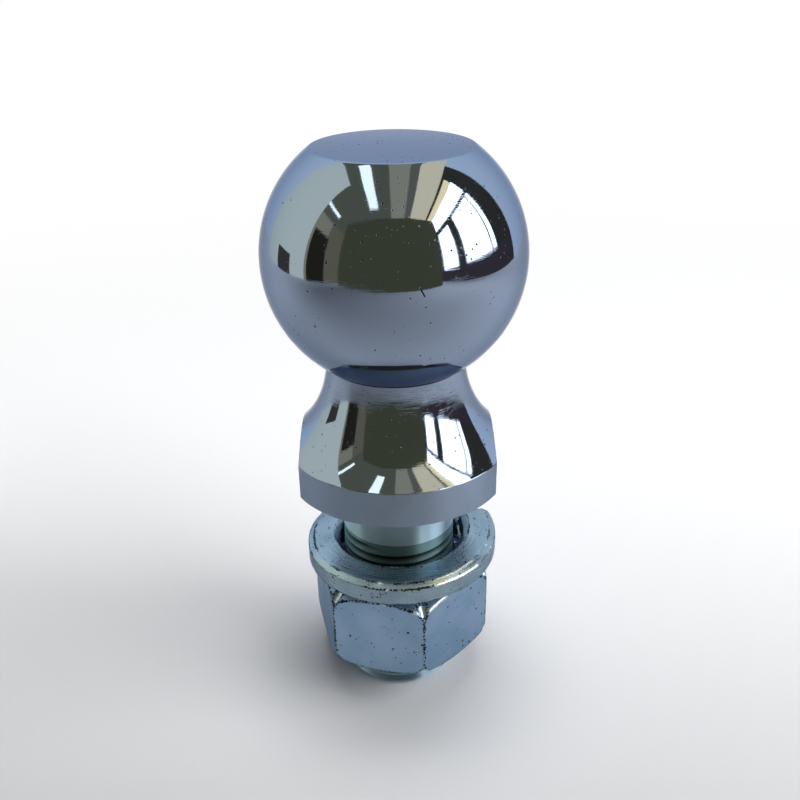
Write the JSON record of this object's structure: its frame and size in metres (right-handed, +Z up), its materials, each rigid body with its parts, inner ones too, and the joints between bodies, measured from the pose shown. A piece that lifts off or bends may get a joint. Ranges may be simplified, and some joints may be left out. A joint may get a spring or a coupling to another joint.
{
  "type": "tow ball",
  "caption": "Chromed coupling ball with a flat top, flared neck and threaded shank carrying a spring washer and a hexagon nut.",
  "frame": {"origin": "centre of the shank's lower end, at the base of the bounding box", "axes": "+Z up the axis of shank and ball, -Y towards the pictured front, +X to the right; the wrench flats face +X and -X"},
  "size_m": [0.05, 0.05, 0.1153],
  "materials": {
    "body_chrome": "bright chrome plate, light pits and handling marks",
    "washer_zinc": "bright zinc plate, worn bevel",
    "nut_zinc": "blue zinc plate, pitted, worn corners"
  },
  "bodies": {
    "root": {"tow_ball_body": "body_chrome", "spring_washer": "washer_zinc", "hex_nut": "nut_zinc"}
  },
  "joints": []
}
